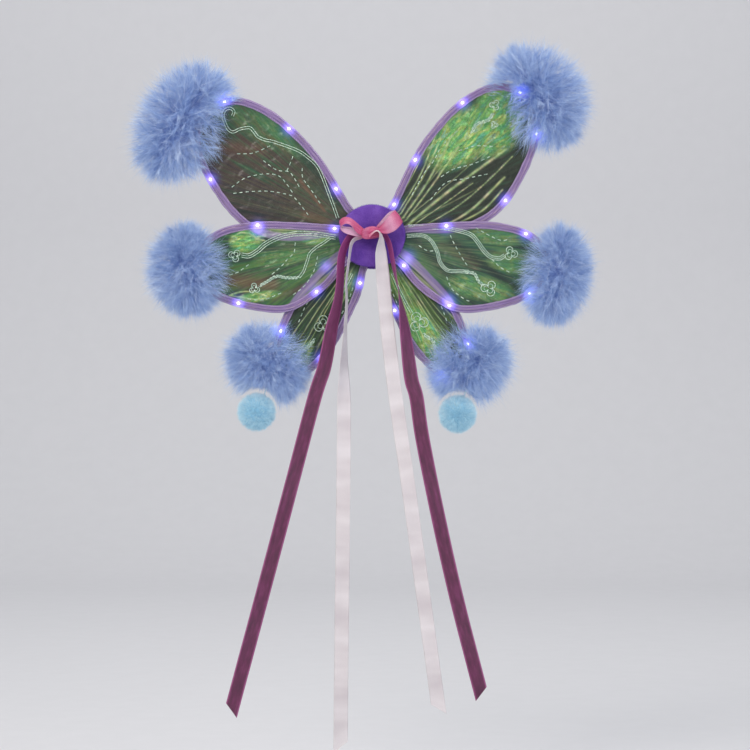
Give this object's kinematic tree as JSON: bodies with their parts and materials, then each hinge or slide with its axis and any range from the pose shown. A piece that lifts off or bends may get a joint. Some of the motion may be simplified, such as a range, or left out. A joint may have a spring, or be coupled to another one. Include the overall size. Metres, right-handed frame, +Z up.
{
  "type": "fairy wings",
  "caption": "Costume wings: see-through film wings in wired bindings on a felt hub, with feather tips, string lights, a bow, ribbon tails, pom-poms and shoulder loops.",
  "frame": {"origin": "on the rear face of the battery case behind the middle of the hub, the face that rests against the wearer", "axes": "+Z up, -Y out of the front of the wings, away from the wearer; +X to the right seen from the front"},
  "size_m": [0.4847, 0.1576, 0.7441],
  "materials": {
    "steel_wire": "polished",
    "binding": "satin",
    "film": "gloss",
    "led_string": "satin",
    "feather": "matte",
    "thread": "matte",
    "pompom": "matte",
    "felt": "matte",
    "bow_satin": "satin",
    "pale_satin": "satin",
    "sheer_ribbon": "satin",
    "elastic": "matte",
    "case_plastic": "satin",
    "cell_metal": "polished",
    "contact_metal": "polished",
    "switch_plastic": "matte",
    "glue": "satin"
  },
  "bodies": {
    "root": {"front_disc": "felt", "back_disc": "felt", "hub_core": "glue", "wire_roots": "steel_wire", "binding_roots": "binding", "bow_knot": "bow_satin", "bow_loop_left": "bow_satin", "bow_loop_right": "bow_satin", "tail_ends": "pale_satin", "strap_patches": "elastic", "battery_case": "case_plastic", "coin_cells": "cell_metal", "spring_contact": "contact_metal", "side_contact": "contact_metal", "led_lead": "led_string"},
    "upper_left_wing": {"upper_left_wire": "steel_wire", "upper_left_binding": "binding", "upper_left_film": "film", "upper_left_leds": "led_string", "upper_left_feathers": "feather"},
    "upper_right_wing": {"upper_right_wire": "steel_wire", "upper_right_binding": "binding", "upper_right_film": "film", "upper_right_leds": "led_string", "upper_right_feathers": "feather"},
    "middle_left_wing": {"middle_left_wire": "steel_wire", "middle_left_binding": "binding", "middle_left_film": "film", "middle_left_leds": "led_string", "middle_left_feathers": "feather"},
    "middle_right_wing": {"middle_right_wire": "steel_wire", "middle_right_binding": "binding", "middle_right_film": "film", "middle_right_leds": "led_string", "middle_right_feathers": "feather"},
    "lower_left_wing": {"lower_left_wire": "steel_wire", "lower_left_binding": "binding", "lower_left_film": "film", "lower_left_leds": "led_string", "lower_left_feathers": "feather"},
    "lower_right_wing": {"lower_right_wire": "steel_wire", "lower_right_binding": "binding", "lower_right_film": "film", "lower_right_leds": "led_string", "lower_right_feathers": "feather"},
    "left_pompom": {"left_thread": "thread", "left_pompom": "pompom"},
    "right_pompom": {"right_thread": "thread", "right_pompom": "pompom"},
    "left_satin_tail": {"left_satin_tail": "pale_satin"},
    "left_sheer_tail": {"left_sheer_tail": "sheer_ribbon"},
    "right_satin_tail": {"right_satin_tail": "pale_satin"},
    "right_sheer_tail": {"right_sheer_tail": "sheer_ribbon"},
    "left_strap": {"left_strap": "elastic"},
    "right_strap": {"right_strap": "elastic"},
    "cover": {"battery_cover": "case_plastic"},
    "screw": {"cover_screw": "steel_wire"},
    "switch": {"switch_slider": "switch_plastic"}
  },
  "joints": [
    {"name": "upper_left_bend", "type": "hinge", "parent": "root", "child": "upper_left_wing", "pos_m": [-0.03078, -0.017, 0.01961], "axis": [-0.5373, 0, -0.8434], "range_deg": [0, 60]},
    {"name": "upper_right_bend", "type": "hinge", "parent": "root", "child": "upper_right_wing", "pos_m": [0.02857, -0.017, 0.02272], "axis": [-0.6225, 0, 0.7826], "range_deg": [0, 60]},
    {"name": "middle_left_bend", "type": "hinge", "parent": "root", "child": "middle_left_wing", "pos_m": [-0.03605, -0.022, -0.00571], "axis": [-0.1564, 0, 0.9877], "range_deg": [0, 30]},
    {"name": "middle_right_bend", "type": "hinge", "parent": "root", "child": "middle_right_wing", "pos_m": [0.03605, -0.022, -0.00571], "axis": [-0.1564, 0, -0.9877], "range_deg": [0, 30]},
    {"name": "lower_left_bend", "type": "hinge", "parent": "root", "child": "lower_left_wing", "pos_m": [-0.02025, -0.017, -0.03037], "axis": [0.832, 0, -0.5548], "range_deg": [0, 60]},
    {"name": "lower_right_bend", "type": "hinge", "parent": "root", "child": "lower_right_wing", "pos_m": [0.02025, -0.017, -0.03037], "axis": [0.832, 0, 0.5548], "range_deg": [0, 60]},
    {"name": "left_pompom_swing", "type": "hinge", "parent": "lower_left_wing", "child": "left_pompom", "pos_m": [-0.10698, -0.017, -0.15124], "axis": [1, 0, 0], "range_deg": [-25, 25]},
    {"name": "right_pompom_swing", "type": "hinge", "parent": "lower_right_wing", "child": "right_pompom", "pos_m": [0.10012, -0.017, -0.16001], "axis": [1, 0, 0], "range_deg": [-25, 25]},
    {"name": "left_satin_swing", "type": "hinge", "parent": "root", "child": "left_satin_tail", "pos_m": [0, -0.0322, -0.006], "axis": [-1, 0, 0], "range_deg": [0, 60]},
    {"name": "left_sheer_swing", "type": "hinge", "parent": "root", "child": "left_sheer_tail", "pos_m": [0, -0.0322, -0.006], "axis": [-1, 0, 0], "range_deg": [0, 60]},
    {"name": "right_satin_swing", "type": "hinge", "parent": "root", "child": "right_satin_tail", "pos_m": [0, -0.0322, -0.006], "axis": [-1, 0, 0], "range_deg": [0, 60]},
    {"name": "right_sheer_swing", "type": "hinge", "parent": "root", "child": "right_sheer_tail", "pos_m": [0, -0.0322, -0.006], "axis": [-1, 0, 0], "range_deg": [0, 60]},
    {"name": "left_strap_swing", "type": "hinge", "parent": "root", "child": "left_strap", "pos_m": [-0.0175, -0.0075, 0], "axis": [0, 0, -1], "range_deg": [-45, 5]},
    {"name": "right_strap_swing", "type": "hinge", "parent": "root", "child": "right_strap", "pos_m": [0.0175, -0.0075, 0], "axis": [0, 0, 1], "range_deg": [-45, 5]},
    {"name": "cover_lift", "type": "slide", "parent": "root", "child": "cover", "axis": [0, 1, 0], "range_m": [0, 0.012]},
    {"name": "screw_turn", "type": "hinge", "parent": "cover", "child": "screw", "pos_m": [0, -0.0006, 0.026], "axis": [0, 1, 0], "continuous": true},
    {"name": "switch_slide", "type": "slide", "parent": "root", "child": "switch", "axis": [1, 0, 0], "range_m": [0, 0.004]}
  ],
  "couplings": [
    {"joint": "left_satin_swing", "follows": "left_sheer_swing", "ratio": 1},
    {"joint": "right_satin_swing", "follows": "right_sheer_swing", "ratio": 1}
  ]
}
